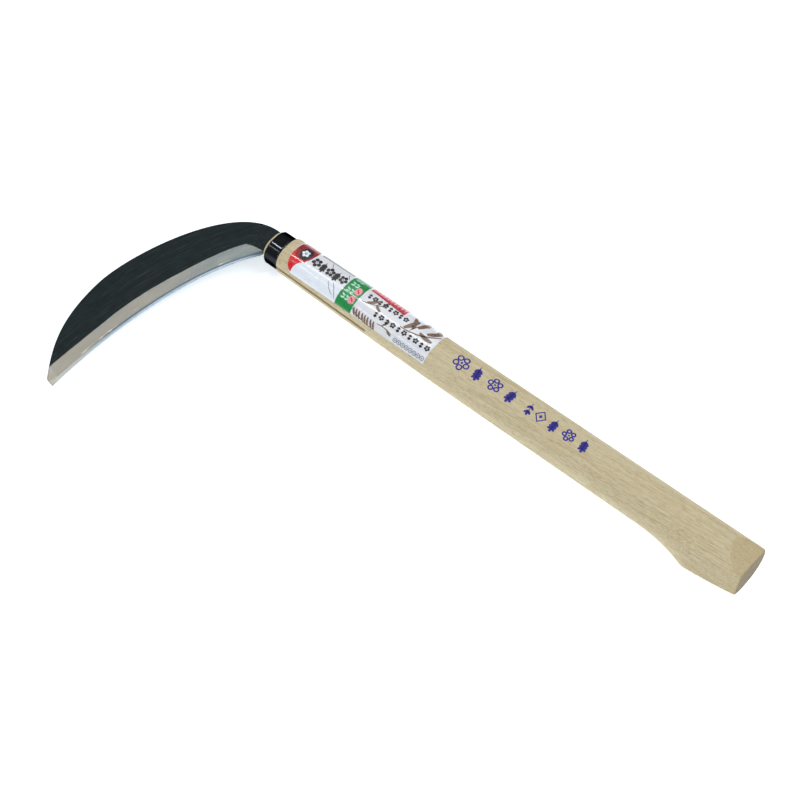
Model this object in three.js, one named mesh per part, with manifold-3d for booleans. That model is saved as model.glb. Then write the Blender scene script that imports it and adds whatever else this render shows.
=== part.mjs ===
// Hand sickle with a forged, double-bevelled blade and a long wooden handle, lying on its side.
// Millimetres. +X runs along the handle from the blade to the butt, +Y towards the blade's spine
// (the cutting edge is on the -Y side) and +Z up. The origin is the bottom centre of its bounding box.
//
// The blade is soft iron with a strip of hard steel let into its cutting edge. Its tang drops into a
// saw kerf in the handle's belly, where its bent tip bites into the kerf floor and a pin crosses it.
// A steel ferrule clamps the kerf shut over the tang, and a paper label is glued round the handle.

import * as THREE from 'three';
import { mergeVertices } from 'three/addons/utils/BufferGeometryUtils.js';
import Module from 'manifold-3d';

const wasm = await Module();
wasm.setup();

// ---------- driving dimensions ----------

const FIT_GAP = 0.3;                 // left between pieces that touch

// Handle. Stations along X are measured from the ferrule's front rim.
const HANDLE_FRONT = -2.1;           // the wood stands a little proud of the ferrule
const HANDLE_BUTT = 416.6;
const HALF_HEIGHT = 13.75;           // handle axis above the floor, and half the handle's thickness
const FRONT_HALF_HEIGHT = 12.9;      // half the thickness just behind the ferrule
const BACK_FRONT = 15.7;             // axis to the back (spine side), just behind the ferrule
const BACK_BUTT = 17.5;              // axis to the back, at the butt
const BELLY_FRONT = 13.4;            // axis to the belly (edge side), just behind the ferrule
const BELLY_GRIP = 16.6;             // axis to the belly along the grip
const TAPER_END = 190;               // the front taper runs out into the parallel grip here
const FLARE_START = 338;             // the belly starts to swell into the pommel
const FLARE_RADIUS = 105;            // radius of the hollow leading up to the pommel
const FLARE_PEAK = 379;
const FLARE_HEIGHT = 7.3;
const FLARE_FALL = 0.11;             // slope of the pommel's belly from its peak down to the butt
const OVAL_POWER = 2.2;              // superellipse power of the section, 2 being a true ellipse
const FLAT_RELIEF = 0.3;             // planed off the broad faces, which leaves a narrow flat on each
const SHOULDER_ROUND = 1.2;

// The butt's end face and its two big dressed facets, each by a point on it and its outward normal.
const END_FACE = { point: [HANDLE_BUTT, 0, 0], normal: [1, -0.035, 0.11] };
const TOP_FACET = { point: [396.7, 7.3, 26.8], normal: [0.37, 0.13, 1] };
const BELLY_FACET = { point: [414, -13, 20], normal: [0.28, -1, 0.25] };

// Ferrule.
const FERRULE_LENGTH = 12.1;
const FERRULE_BACK = 14.3;
const FERRULE_BELLY = 13.2;
const FERRULE_HALF_HEIGHT = 11.9;
const FERRULE_WALL = 0.9;
const FERRULE_LIP = 0.8;             // rounding of both rims

// Blade, drawn in its own plane: X as above, Y up to the spine, with the handle axis on Y = 0.
// The neck is bent there, so that the blade slopes down from the level tang to touch the floor.
const TANG_HEIGHT = 14.4;            // middle of the tang above the floor
const BLADE_TILT = THREE.MathUtils.degToRad(3.93);
const HEEL = [-3.3, -12.4];
const NECK_TOP = [-2.5, 11.4];
const SPINE_BELLY = [-82, -104.4];   // where the spine is farthest forward
const EDGE_TIP = [-45.4, -187.7];
const SPINE_TIP = [-52.2, -186.1];
const EDGE_CURVE = cubic(HEEL, [-33, -49.8], [-46.4, -126.7], EDGE_TIP);
const SPINE_NECK = cubic(NECK_TOP, [-51.1, 18.6], [-82, -72.1], SPINE_BELLY);
const SPINE_POINT = cubic(SPINE_BELLY, [-82, -145.5], [-69.3, -164.9], SPINE_TIP);
const SPINE_HALF = 1.6;              // half thickness at the spine
const BEVEL_HALF = 1.35;             // half thickness where the bevel starts
const EDGE_HALF = 0.08;              // half thickness of the honed edge
const BEVEL_WIDTH = 11.9;
const BEVEL_WAVER = 0.5;             // it is ground by hand, so its width wavers this much
const WAVER_LENGTH = 0.45;           // share of the blade that one waver takes
const HEEL_BEVEL_WIDTH = 1.8;        // the bevel narrows in a straight line to this at the heel
const HEEL_SHARE = 0.098;            // share of the blade over which it narrows
const STEEL_SHOWING = 2.4;           // width of hard steel bared along the edge
const STEEL_DEPTH = 8;               // how far the strip reaches into the iron
const STEEL_TONGUE_HALF = 0.2;
const BLADE_STATIONS = 40;

// Tang, seen from above. Its tip is bent towards the back and bites into the kerf floor.
const TANG_HALF = 1.1;
const TANG_ROOT = -4.5;
const TANG_TIP = 72;
const TANG_OUTLINE = [
  [TANG_ROOT, 5], [66.5, 3.4], [67.5, 9], [TANG_TIP - 1, 9], [TANG_TIP, -3.6], [TANG_ROOT, -8],
];
const KERF_END = 101;
const KERF_FLOOR = 5.4;
const HOOK_POCKET = { from: 66.2, to: TANG_TIP + 0.6, floor: 9.4 };

// Pin through handle and tang.
const PIN_X = 40;
const PIN_Y = -1.2;
const PIN_RADIUS = 1.4;
const PIN_FROM = 4;
const PIN_TO = 25.4;

// Label. Angles go round the handle: 0 at the back, 90 degrees on top, 180 at the belly.
const LABEL_FROM = 19.8;
const LABEL_TO = 153.5;
const LABEL_END_ROUND = 8.4;         // the front end is cut round, standing back this far at its corners
const LABEL_BACK_ANGLE = THREE.MathUtils.degToRad(-28);
const LABEL_BELLY_ANGLE_FRONT = THREE.MathUtils.degToRad(159.5);
const LABEL_BELLY_ANGLE_REAR = THREE.MathUtils.degToRad(151);
const LABEL_THICKNESS = 0.2;
const LABEL_GAP = 0.15;

// ---------- materials ----------

const forgeBlack = new THREE.MeshStandardMaterial({ color: 0x242b2d, roughness: 0.45, metalness: 0.8 });
const bareSteel = new THREE.MeshStandardMaterial({ color: 0xb9c3cc, roughness: 0.3, metalness: 1 });
const paleWood = new THREE.MeshStandardMaterial({ color: 0xd6c6a4, roughness: 0.6, metalness: 0 });
const blackFerrule = new THREE.MeshStandardMaterial({ color: 0x101214, roughness: 0.25, metalness: 0.6 });
const pinSteel = new THREE.MeshStandardMaterial({ color: 0x6f7275, roughness: 0.5, metalness: 1 });
const glossPaper = new THREE.MeshStandardMaterial({ color: 0xe6e3e4, roughness: 0.3, metalness: 0 });

// ---------- curves and profiles ----------

function cubic(start, startHandle, endHandle, end) {
  const points = [start, startHandle, endHandle, end].map(([x, y]) => new THREE.Vector2(x, y));
  return new THREE.CubicBezierCurve(...points);
}

function smooth(value, from, to) {
  return THREE.MathUtils.smoothstep(value, from, to);
}

// How far a quarter-round edge stands in from the full size, at a distance from the piece's end.
function roundedInset(distance, radius) {
  const run = Math.max(0, radius - distance);
  return radius - Math.sqrt(radius * radius - run * run);
}

// The belly swells along a hollow arc, then falls off in a straight line, with a soft crest between.
function bellyFlare(x) {
  if (x <= FLARE_START) return 0;
  const run = Math.min(x - FLARE_START, FLARE_RADIUS * 0.9);
  const hollow = FLARE_RADIUS - Math.sqrt(FLARE_RADIUS * FLARE_RADIUS - run * run);
  const fall = FLARE_HEIGHT + 0.5 - FLARE_FALL * (x - FLARE_PEAK);
  const softness = 0.35;
  return -softness * Math.log(Math.exp(-hollow / softness) + Math.exp(-fall / softness));
}

function gripSizes(x) {
  const alongHandle = x / HANDLE_BUTT;
  const taper = smooth(x, -40, TAPER_END);
  return {
    back: THREE.MathUtils.lerp(BACK_FRONT, BACK_BUTT, alongHandle),
    belly: THREE.MathUtils.lerp(BELLY_FRONT, BELLY_GRIP, taper) + bellyFlare(x),
    height: THREE.MathUtils.lerp(FRONT_HALF_HEIGHT, HALF_HEIGHT, smooth(x, -20, 110)),
  };
}

function shrink(sizes, inset) {
  return { back: sizes.back - inset, belly: sizes.belly - inset, height: sizes.height - inset };
}

const FERRULE_SIZES = { back: FERRULE_BACK, belly: FERRULE_BELLY, height: FERRULE_HALF_HEIGHT };

// The wood is cut down to fit inside the ferrule, and rounded at its nose and at its shoulder.
function handleSizes(x) {
  const shoulder = FERRULE_LENGTH + FIT_GAP;
  if (x < shoulder) {
    const nose = roundedInset(x - HANDLE_FRONT, SHOULDER_ROUND);
    return shrink(FERRULE_SIZES, FERRULE_WALL + FIT_GAP + nose);
  }
  return shrink(gripSizes(x), roundedInset(x - shoulder, SHOULDER_ROUND));
}

// A point of the handle's oval section. The broad faces are clipped to narrow flats.
function ovalPoint(x, angle, sizes) {
  const across = Math.cos(angle);
  const up = Math.sin(angle);
  const halfWidth = across > 0 ? sizes.back : sizes.belly;
  const y = Math.sign(across) * halfWidth * Math.abs(across) ** (2 / OVAL_POWER);
  const fullZ = Math.sign(up) * (sizes.height + FLAT_RELIEF) * Math.abs(up) ** (2 / OVAL_POWER);
  const z = THREE.MathUtils.clamp(fullZ, -sizes.height, sizes.height);
  return new THREE.Vector3(x, y, HALF_HEIGHT + z);
}

// ---------- solids ----------

// Drops everything but the positions, welds the seams and leaves out triangles with no area.
function weld(geometry) {
  const bare = new THREE.BufferGeometry();
  bare.setAttribute('position', geometry.getAttribute('position'));
  bare.setIndex(geometry.getIndex());
  const welded = mergeVertices(bare, 1e-4);
  const index = welded.getIndex().array;
  const kept = [];
  for (let i = 0; i < index.length; i += 3) {
    const [a, b, c] = index.slice(i, i + 3);
    if (a !== b && b !== c && c !== a) kept.push(a, b, c);
  }
  welded.setIndex(kept);
  return welded;
}

function toSolid(geometry) {
  const welded = weld(geometry);
  return new wasm.Manifold(new wasm.Mesh({
    numProp: 3,
    vertProperties: new Float32Array(welded.getAttribute('position').array),
    triVerts: new Uint32Array(welded.getIndex().array),
  }));
}

function toGeometry(solid) {
  const mesh = solid.getMesh();
  const geometry = new THREE.BufferGeometry();
  geometry.setAttribute('position', new THREE.BufferAttribute(mesh.vertProperties, 3));
  geometry.setIndex(new THREE.BufferAttribute(mesh.triVerts, 1));
  return geometry;
}

// Moves each vertex of a geometry to a place worked out from where it is.
function reshape(geometry, placeOf) {
  const position = geometry.getAttribute('position');
  const vertex = new THREE.Vector3();
  for (let i = 0; i < position.count; i += 1) {
    const placed = placeOf(vertex.fromBufferAttribute(position, i));
    position.setXYZ(i, placed.x, placed.y, placed.z);
  }
  return geometry;
}

// Turns a profile of [radius, station] pairs about X, then maps each circle to an oval section.
function turnOnOval(profile, segments, sizesAt) {
  const points = profile.map(([radius, station]) => new THREE.Vector2(radius, station));
  const turned = new THREE.LatheGeometry(points, segments).rotateZ(-Math.PI / 2);
  return reshape(turned, (vertex) => {
    const radius = Math.hypot(vertex.y, vertex.z);
    return ovalPoint(vertex.x, Math.atan2(vertex.z, vertex.y), sizesAt(vertex.x, radius));
  });
}

// A block that fills the space beyond a plane.
function blockBeyond({ point, normal }) {
  const size = 120;
  const block = new THREE.BoxGeometry(size, size, size).translate(0, 0, size / 2);
  const direction = new THREE.Vector3(...normal).normalize();
  const turn = new THREE.Quaternion().setFromUnitVectors(new THREE.Vector3(0, 0, 1), direction);
  return toSolid(block.applyQuaternion(turn).translate(...point));
}

// A box centred on the tang's height, given by its ends along X and Y and its thickness.
function sawCut([x0, x1], [y0, y1], width) {
  const box = new THREE.BoxGeometry(x1 - x0, y1 - y0, width);
  return toSolid(box.translate((x0 + x1) / 2, (y0 + y1) / 2, TANG_HEIGHT));
}

function pinSolid(radius, from, to) {
  const cylinder = new THREE.CylinderGeometry(radius, radius, to - from, 24).rotateX(Math.PI / 2);
  return toSolid(cylinder.translate(PIN_X, PIN_Y, (from + to) / 2));
}

// ---------- handle ----------

function stationsBetween(from, to, count) {
  return Array.from({ length: count + 1 }, (_, i) => THREE.MathUtils.lerp(from, to, i / count));
}

function makeHandle() {
  const shoulder = FERRULE_LENGTH + FIT_GAP;
  const stations = [
    ...stationsBetween(HANDLE_FRONT, HANDLE_FRONT + SHOULDER_ROUND, 4),
    shoulder - 0.01,
    ...stationsBetween(shoulder, shoulder + SHOULDER_ROUND, 4),
    ...stationsBetween(30, TAPER_END, 9),
    ...stationsBetween(250, FLARE_START, 2),
    ...stationsBetween(FLARE_START + 4, HANDLE_BUTT + 5, 24),
  ];
  const skin = stations.map((station) => [1, station]);
  const profile = [[0, stations[0]], ...skin, [0, stations.at(-1)]];
  const scaled = (x, radius) => {
    const sizes = handleSizes(x);
    if (radius > 0.5) return sizes;
    return { back: 0, belly: 0, height: 0 };
  };
  const blank = toSolid(turnOnOval(profile, 48, scaled));

  const kerfWidth = 2 * (TANG_HALF + FIT_GAP);
  const kerf = sawCut([HANDLE_FRONT - 5, KERF_END], [-40, KERF_FLOOR], kerfWidth);
  const pocket = sawCut([HOOK_POCKET.from, HOOK_POCKET.to], [0, HOOK_POCKET.floor], kerfWidth);
  const pinHole = pinSolid(PIN_RADIUS + FIT_GAP, PIN_FROM - FIT_GAP, 60);
  const cuts = [kerf, pocket, pinHole, ...[END_FACE, TOP_FACET, BELLY_FACET].map(blockBeyond)];
  return toGeometry(cuts.reduce((wood, cut) => wood.subtract(cut), blank));
}

// ---------- ferrule ----------

// A ring of oval section with rounded rims. The radius is the distance outside the bore.
function makeFerrule() {
  const outer = [];
  for (const station of stationsBetween(0, FERRULE_LIP, 4)) {
    outer.push([FERRULE_WALL - roundedInset(station, FERRULE_LIP), station]);
  }
  const far = outer.map(([height, station]) => [height, FERRULE_LENGTH - station]).reverse();
  const bore = [[0, FERRULE_LENGTH], [0, 0]];
  const base = 10;
  const ring = [...outer, ...far, ...bore, outer[0]].map(([height, x]) => [base + height, x]);
  const sizesAt = (x, radius) => shrink(FERRULE_SIZES, FERRULE_WALL - (radius - base));
  return toGeometry(toSolid(turnOnOval(ring, 48, sizesAt)));
}

// ---------- blade ----------

// Matching points on the edge and on the spine, at one fraction of the way from heel to point.
function bladeStation(fraction) {
  const edge = EDGE_CURVE.getPointAt(fraction);
  const along = EDGE_CURVE.getTangentAt(fraction);
  const neckLength = SPINE_NECK.getLength();
  const walked = fraction * (neckLength + SPINE_POINT.getLength());
  const spine = walked <= neckLength
    ? SPINE_NECK.getPointAt(walked / neckLength)
    : SPINE_POINT.getPointAt(Math.min(1, (walked - neckLength) / SPINE_POINT.getLength()));
  const across = spine.clone().sub(edge);
  const width = across.length();
  across.normalize();
  // How squarely this line crosses the blade, to turn a width into a distance along the line.
  const square = Math.abs(across.x * along.y - across.y * along.x);
  return { edge, across, width, square, fraction };
}

function bevelDistance({ width, square, fraction }) {
  const waver = BEVEL_WAVER * Math.cos(2 * Math.PI * (fraction - HEEL_SHARE) / WAVER_LENGTH);
  const share = Math.min(1, fraction / HEEL_SHARE);
  const nominal = THREE.MathUtils.lerp(HEEL_BEVEL_WIDTH, BEVEL_WIDTH + waver, share);
  return Math.min(nominal / square, width - 0.6);
}

// Half thickness of the bevel at a distance from the edge, measured along the station's line.
function bevelHalf(station, distance) {
  return THREE.MathUtils.lerp(EDGE_HALF, BEVEL_HALF, distance / bevelDistance(station));
}

// A solid swept from heel to point. sectionAt gives [distance from edge, half thickness] pairs.
function sweepBlade(sectionAt, from, to) {
  const rings = stationsBetween(from, to, BLADE_STATIONS).map((fraction) => {
    const station = bladeStation(fraction);
    const upper = sectionAt(station).map(([distance, half]) => {
      const at = station.across.clone().multiplyScalar(distance).add(station.edge);
      return new THREE.Vector3(at.x, at.y, half);
    });
    const lower = upper.map((point) => new THREE.Vector3(point.x, point.y, -point.z)).reverse();
    return [...upper, ...lower];
  });
  const count = rings[0].length;
  const index = [];
  for (let ring = 0; ring < rings.length - 1; ring += 1) {
    for (let i = 0; i < count; i += 1) {
      const a = ring * count + i;
      const b = ring * count + (i + 1) % count;
      index.push(a, b, a + count, b, b + count, a + count);
    }
  }
  // Each end is closed by strips between the upper and the lower half of its ring.
  const last = (rings.length - 1) * count;
  for (let i = 0; i < count / 2 - 1; i += 1) {
    const low = count - 1 - i;
    index.push(i, low, i + 1, i + 1, low, low - 1);
    index.push(last + i, last + i + 1, last + low, last + i + 1, last + low - 1, last + low);
  }
  const geometry = new THREE.BufferGeometry().setFromPoints(rings.flat());
  geometry.setIndex(index);
  return toSolid(geometry);
}

// The tang lies level, so in the blade's own frame it is turned back by the blade's tilt.
function tangSolid() {
  const outline = new THREE.Shape(TANG_OUTLINE.map(([x, y]) => new THREE.Vector2(x, y)));
  const tang = new THREE.ExtrudeGeometry(outline, { depth: 2 * TANG_HALF, bevelEnabled: false });
  return toSolid(tang.translate(0, 0, -TANG_HALF).rotateX(-BLADE_TILT));
}

function makeBladeBody() {
  const iron = (station) => {
    const start = STEEL_SHOWING / station.square + 0.15;
    const bevel = bevelDistance(station);
    return [
      [start, bevelHalf(station, start)],
      [Math.max(bevel, start + 0.2), BEVEL_HALF],
      [station.width - 0.5, SPINE_HALF],
      [station.width, SPINE_HALF - 0.5],
    ];
  };
  const cleft = (station) => {
    const half = STEEL_TONGUE_HALF + 0.12;
    const depth = steelDepth(station) + 0.3;
    return [[0, half], [depth, half]];
  };
  const tangHole = pinSolid(PIN_RADIUS + FIT_GAP, -60, 60);
  const forged = sweepBlade(iron, 0, 1).add(tangSolid());
  return toGeometry(forged.subtract(sweepBlade(cleft, 0, 1)).subtract(tangHole));
}

function steelDepth({ square, width }) {
  return Math.min(STEEL_DEPTH / square, width - 1.6);
}

function makeEdgeSteel() {
  const strip = (station) => {
    const bared = STEEL_SHOWING / station.square;
    return [
      [0, EDGE_HALF],
      [bared, bevelHalf(station, bared)],
      [bared + 0.01, STEEL_TONGUE_HALF],
      [steelDepth(station), STEEL_TONGUE_HALF],
    ];
  };
  return toGeometry(sweepBlade(strip, 0.004, 0.999));
}

// ---------- pin and label ----------

function makePin() {
  return toGeometry(pinSolid(PIN_RADIUS, PIN_FROM, PIN_TO));
}

// A thin sheet bent round the oval: X stays, Y from 0.5 down to -0.5 goes from back to belly, and Z
// is the height off the wood.
function makeLabel() {
  const sheet = new THREE.BoxGeometry(LABEL_TO - LABEL_FROM, 1, LABEL_THICKNESS, 14, 28, 1);
  sheet.translate((LABEL_FROM + LABEL_TO) / 2, 0, 0);
  const wrapped = reshape(sheet, (vertex) => {
    const along = (vertex.x - LABEL_FROM) / (LABEL_TO - LABEL_FROM);
    const fromMiddle = 2 * vertex.y;
    const standBack = LABEL_END_ROUND * (1 - Math.sqrt(Math.max(0, 1 - fromMiddle * fromMiddle)));
    const x = THREE.MathUtils.lerp(LABEL_FROM + standBack, LABEL_TO, along);
    const bellyAngle = THREE.MathUtils.lerp(LABEL_BELLY_ANGLE_FRONT, LABEL_BELLY_ANGLE_REAR, along);
    const angle = THREE.MathUtils.lerp(LABEL_BACK_ANGLE, bellyAngle, 0.5 - vertex.y);
    const lift = LABEL_GAP + LABEL_THICKNESS / 2 + vertex.z;
    return ovalPoint(x, angle, shrink(gripSizes(x), -lift));
  });
  return toGeometry(toSolid(wrapped));
}

// ---------- assembly ----------

function named(name, geometry, material) {
  geometry.computeVertexNormals();
  const mesh = new THREE.Mesh(geometry, material);
  mesh.name = name;
  return mesh;
}

const blade = new THREE.Group();
blade.add(
  named('blade_body', makeBladeBody(), forgeBlack),
  named('edge_steel', makeEdgeSteel(), bareSteel),
);
blade.position.z = TANG_HEIGHT;
blade.rotation.x = BLADE_TILT;

const sickle = new THREE.Group();
sickle.add(
  blade,
  named('handle', makeHandle(), paleWood),
  named('ferrule', makeFerrule(), blackFerrule),
  named('tang_pin', makePin(), pinSteel),
  named('label', makeLabel(), glossPaper),
);

sickle.updateMatrixWorld(true);
const bounds = new THREE.Box3().setFromObject(sickle, true);
const centre = bounds.getCenter(new THREE.Vector3());
sickle.position.set(-centre.x, -centre.y, -bounds.min.z);

export default sickle;
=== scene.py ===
"""Hand sickle: the detailed pieces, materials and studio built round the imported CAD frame.

Shapes are drawn in millimetres in the handle's own frame: X from the ferrule's front rim towards the butt,
Y from the handle's axis towards the blade's spine, and Z up from the floor. to_frame() gives the shared
frame's metres.
"""

import math
from functools import lru_cache

import bmesh
import bpy
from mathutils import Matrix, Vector


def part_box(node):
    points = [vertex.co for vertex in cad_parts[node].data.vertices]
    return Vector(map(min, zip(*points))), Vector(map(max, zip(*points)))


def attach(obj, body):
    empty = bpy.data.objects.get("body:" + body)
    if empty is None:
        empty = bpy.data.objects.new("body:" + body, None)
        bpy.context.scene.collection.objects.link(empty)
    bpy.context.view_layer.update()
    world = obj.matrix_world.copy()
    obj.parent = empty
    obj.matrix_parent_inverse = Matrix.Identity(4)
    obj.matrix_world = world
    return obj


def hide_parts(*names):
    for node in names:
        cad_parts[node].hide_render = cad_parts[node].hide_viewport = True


# ---------- frame ----------

MM = 0.001

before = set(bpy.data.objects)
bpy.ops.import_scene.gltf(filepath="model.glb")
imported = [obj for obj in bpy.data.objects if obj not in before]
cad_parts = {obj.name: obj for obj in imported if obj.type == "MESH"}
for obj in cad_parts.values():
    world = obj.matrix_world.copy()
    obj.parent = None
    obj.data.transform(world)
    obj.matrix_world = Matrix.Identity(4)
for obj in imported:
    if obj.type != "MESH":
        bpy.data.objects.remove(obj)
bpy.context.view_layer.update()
FERRULE_LOW, FERRULE_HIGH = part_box("ferrule")
HANDLE_LOW, HANDLE_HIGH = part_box("handle")

# ---------- driving dimensions ----------

FIT_GAP = 0.3

HANDLE_FRONT = -2.1
HANDLE_BUTT = 416.6
HALF_HEIGHT = HANDLE_HIGH[2] / MM / 2
FRONT_HALF_HEIGHT = HALF_HEIGHT - 0.85
BACK_FRONT = 15.7
BACK_BUTT = 17.5
BELLY_FRONT = 13.4
BELLY_GRIP = 16.6
TAPER_END = 190
FLARE_START = 338
FLARE_RADIUS = 105
FLARE_PEAK = 379
FLARE_HEIGHT = 7.3
FLARE_FALL = 0.11
OVAL_POWER = 2.2
FLAT_RELIEF = 0.3
SHOULDER_ROUND = 1.2
BUTT_ROUND = 0.7
END_LEAN = 0.11
END_SKEW = 0.035
TOP_FACET = (Vector((396.7, 7.3, 26.8)), Vector((0.37, 0.13, 1)))
BELLY_FACET = (Vector((414, -13, 20)), Vector((0.28, -1, 0.25)))

FERRULE_LENGTH = 12.1
FERRULE_BACK = 14.3
FERRULE_BELLY = 13.2
FERRULE_HALF_HEIGHT = 11.9
FERRULE_WALL = 0.9
FERRULE_LIP = 0.8

TANG_HEIGHT = 14.4
TANG_HALF = 1.1
TANG_ROOT = -3.1
TANG_TIP = 72
BLADE_TILT = math.radians(3.93)
HEEL = (-3.3, -12.4)
NECK_TOP = (-2.5, 11.4)
SPINE_BELLY = (-81.95, -104.4)
EDGE_TIP = (-45.4, -187.7)
SPINE_TIP = (-52.2, -186.1)
SPINE_HALF = 1.6
SPINE_ROUND = 0.7
BEVEL_HALF = 1.35
EDGE_HALF = 0.08
BEVEL_WIDTH = 11.9
BEVEL_WAVER = 0.5
WAVER_LENGTH = 0.45
HEEL_BEVEL_WIDTH = 1.8
HEEL_SHARE = 0.098
STEEL_SHOWING = 2.4
STEEL_DEPTH = 8
STEEL_TONGUE_HALF = 0.2
BLADE_STATIONS = 240

KERF_END = 101
KERF_FLOOR = 5.4
HOOK_POCKET_FROM = 66.2
HOOK_POCKET_FLOOR = 9.4
PIN_X = 40
PIN_Y = -1.2
PIN_HOLE_RADIUS = 1.7
PIN_FROM = 4

LABEL_FROM = 19.8
LABEL_TO = 153.5
LABEL_END_ROUND = 8.4
LABEL_BACK_ANGLE = math.radians(-28)
LABEL_BELLY_ANGLE_FRONT = math.radians(159.5)
LABEL_BELLY_ANGLE_REAR = math.radians(151)
LABEL_TOP = 0.22
PRINT_STEP = 0.012

ORIGIN = Vector((FERRULE_LOW[0], FERRULE_HIGH[1] - FERRULE_BACK * MM, 0))


def to_frame(point):
    return ORIGIN + Vector(point) * MM


# ---------- arithmetic ----------


def lerp(start, end, fraction):
    return start + (end - start) * fraction


def smooth(value, start, end):
    fraction = min(1, max(0, (value - start) / (end - start)))
    return fraction * fraction * (3 - 2 * fraction)


def steps(start, end, count):
    return [lerp(start, end, i / count) for i in range(count + 1)]


def soft_min(values, softness):
    lowest = min(values)
    return lowest - softness * math.log(sum(math.exp((lowest - value) / softness) for value in values))


def rounded_inset(distance, radius):
    """How far a quarter-round edge stands in from the full size, at a distance from the piece's end."""
    run = max(0, radius - distance)
    return radius - math.sqrt(radius * radius - run * run)


def rounding_steps(radius):
    """Distances from a rounded edge, closer together where it curves most."""
    return [radius * (1 - math.cos(math.radians(15 * i))) for i in range(7)]


class Cubic:
    """A cubic curve that can be walked by its length."""

    SAMPLES = 400

    def __init__(self, *points):
        self.points = [Vector(point) for point in points]
        self.walked = [0]
        before = self.at(0)
        for i in range(1, self.SAMPLES + 1):
            after = self.at(i / self.SAMPLES)
            self.walked.append(self.walked[-1] + (after - before).length)
            before = after

    @property
    def length(self):
        return self.walked[-1]

    def at(self, t):
        a, b, c, d = self.points
        s = 1 - t
        return a * s**3 + b * (3 * s * s * t) + c * (3 * s * t * t) + d * t**3

    def parameter(self, fraction):
        goal = fraction * self.length
        low, high = 0, self.SAMPLES
        while high - low > 1:
            middle = (low + high) // 2
            if self.walked[middle] > goal:
                high = middle
            else:
                low = middle
        span = self.walked[high] - self.walked[low]
        return (low + (goal - self.walked[low]) / span) / self.SAMPLES

    def walk(self, fraction):
        return self.at(self.parameter(fraction))

    def heading(self, fraction):
        t = self.parameter(fraction)
        return (self.at(min(1, t + 1e-3)) - self.at(max(0, t - 1e-3))).normalized()


# ---------- mesh building ----------


def new_piece(name, mesh, materials, sharp_angle=30):
    for material in materials:
        mesh.materials.append(material)
    mesh.polygons.foreach_set("use_smooth", [True] * len(mesh.polygons))
    mesh.set_sharp_from_angle(angle=math.radians(sharp_angle))
    piece = bpy.data.objects.new(name, mesh)
    bpy.context.scene.collection.objects.link(piece)
    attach(piece, "root")
    return piece


def mesh_from(name, vertices, faces):
    mesh = bpy.data.meshes.new(name)
    mesh.from_pydata([to_frame(vertex) for vertex in vertices], [], faces)
    face_outwards(mesh)
    return mesh


def face_outwards(mesh):
    work = bmesh.new()
    work.from_mesh(mesh)
    bmesh.ops.recalc_face_normals(work, faces=work.faces)
    work.to_mesh(mesh)
    work.free()


def bridge(rings, closed_ends=True, looped=False):
    """Vertices and faces of a tube through rings of equal size, with a face over each end."""
    count = len(rings[0])
    vertices = [point for ring in rings for point in ring]
    faces = []
    for ring in range(len(rings) if looped else len(rings) - 1):
        here = ring * count
        after = (ring + 1) % len(rings) * count
        for i in range(count):
            side = (i + 1) % count
            faces.append((here + i, here + side, after + side, after + i))
    if closed_ends and not looped:
        faces.append(tuple(range(count)))
        faces.append(tuple(range(len(vertices) - count, len(vertices))))
    return vertices, faces


def box_cutter(x_range, y_range, z_range):
    corners = [(x, y, z) for x in x_range for y in y_range for z in z_range]
    faces = [(0, 1, 3, 2), (4, 6, 7, 5), (0, 4, 5, 1), (2, 3, 7, 6), (0, 2, 6, 4), (1, 5, 7, 3)]
    return mesh_from("cutter", corners, faces)


def round_cutter(x, y, z_range, radius):
    turns = [math.radians(15 * i) for i in range(24)]
    rings = [[(x + radius * math.cos(a), y + radius * math.sin(a), z) for a in turns] for z in z_range]
    return mesh_from("cutter", *bridge(rings))


def subtract(mesh, cutters):
    """The mesh with each cutter's volume taken away."""
    scene = bpy.context.scene.collection
    body = bpy.data.objects.new("body", mesh)
    tools = [bpy.data.objects.new("tool", cutter) for cutter in cutters]
    for item in [body, *tools]:
        scene.objects.link(item)
    for tool in tools:
        cut = body.modifiers.new("cut", "BOOLEAN")
        cut.operation = "DIFFERENCE"
        cut.solver = "EXACT"
        cut.object = tool
    graph = bpy.context.evaluated_depsgraph_get()
    result = bpy.data.meshes.new_from_object(body.evaluated_get(graph), depsgraph=graph)
    for item in [body, *tools]:
        bpy.data.objects.remove(item)
    return result


# ---------- handle ----------


def belly_flare(x):
    """The belly swells along a hollow arc, then falls off in a straight line, with a soft crest."""
    if x <= FLARE_START:
        return 0
    run = min(x - FLARE_START, FLARE_RADIUS * 0.9)
    hollow = FLARE_RADIUS - math.sqrt(FLARE_RADIUS**2 - run * run)
    fall = FLARE_HEIGHT + 0.5 - FLARE_FALL * (x - FLARE_PEAK)
    return soft_min([hollow, fall], 0.35)


def grip_sizes(x):
    """Distances from the axis to the back, to the belly and to the broad faces."""
    return (
        lerp(BACK_FRONT, BACK_BUTT, x / HANDLE_BUTT),
        lerp(BELLY_FRONT, BELLY_GRIP, smooth(x, -40, TAPER_END)) + belly_flare(x),
        lerp(FRONT_HALF_HEIGHT, HALF_HEIGHT, smooth(x, -20, 110)),
    )


def neck_sizes():
    inset = FERRULE_WALL + FIT_GAP
    return FERRULE_BACK - inset, FERRULE_BELLY - inset, FERRULE_HALF_HEIGHT - inset


def oval_radius(sizes, across, up):
    """Radius of the oval section in the direction (across, up), with its broad faces planed flat."""
    back, belly, height = sizes
    width = back if across > 0 else belly
    share = (abs(across) / width) ** OVAL_POWER + (abs(up) / (height + FLAT_RELIEF)) ** OVAL_POWER
    return soft_min([share ** (-1 / OVAL_POWER), height / max(abs(up), 1e-6)], 0.06)


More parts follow.
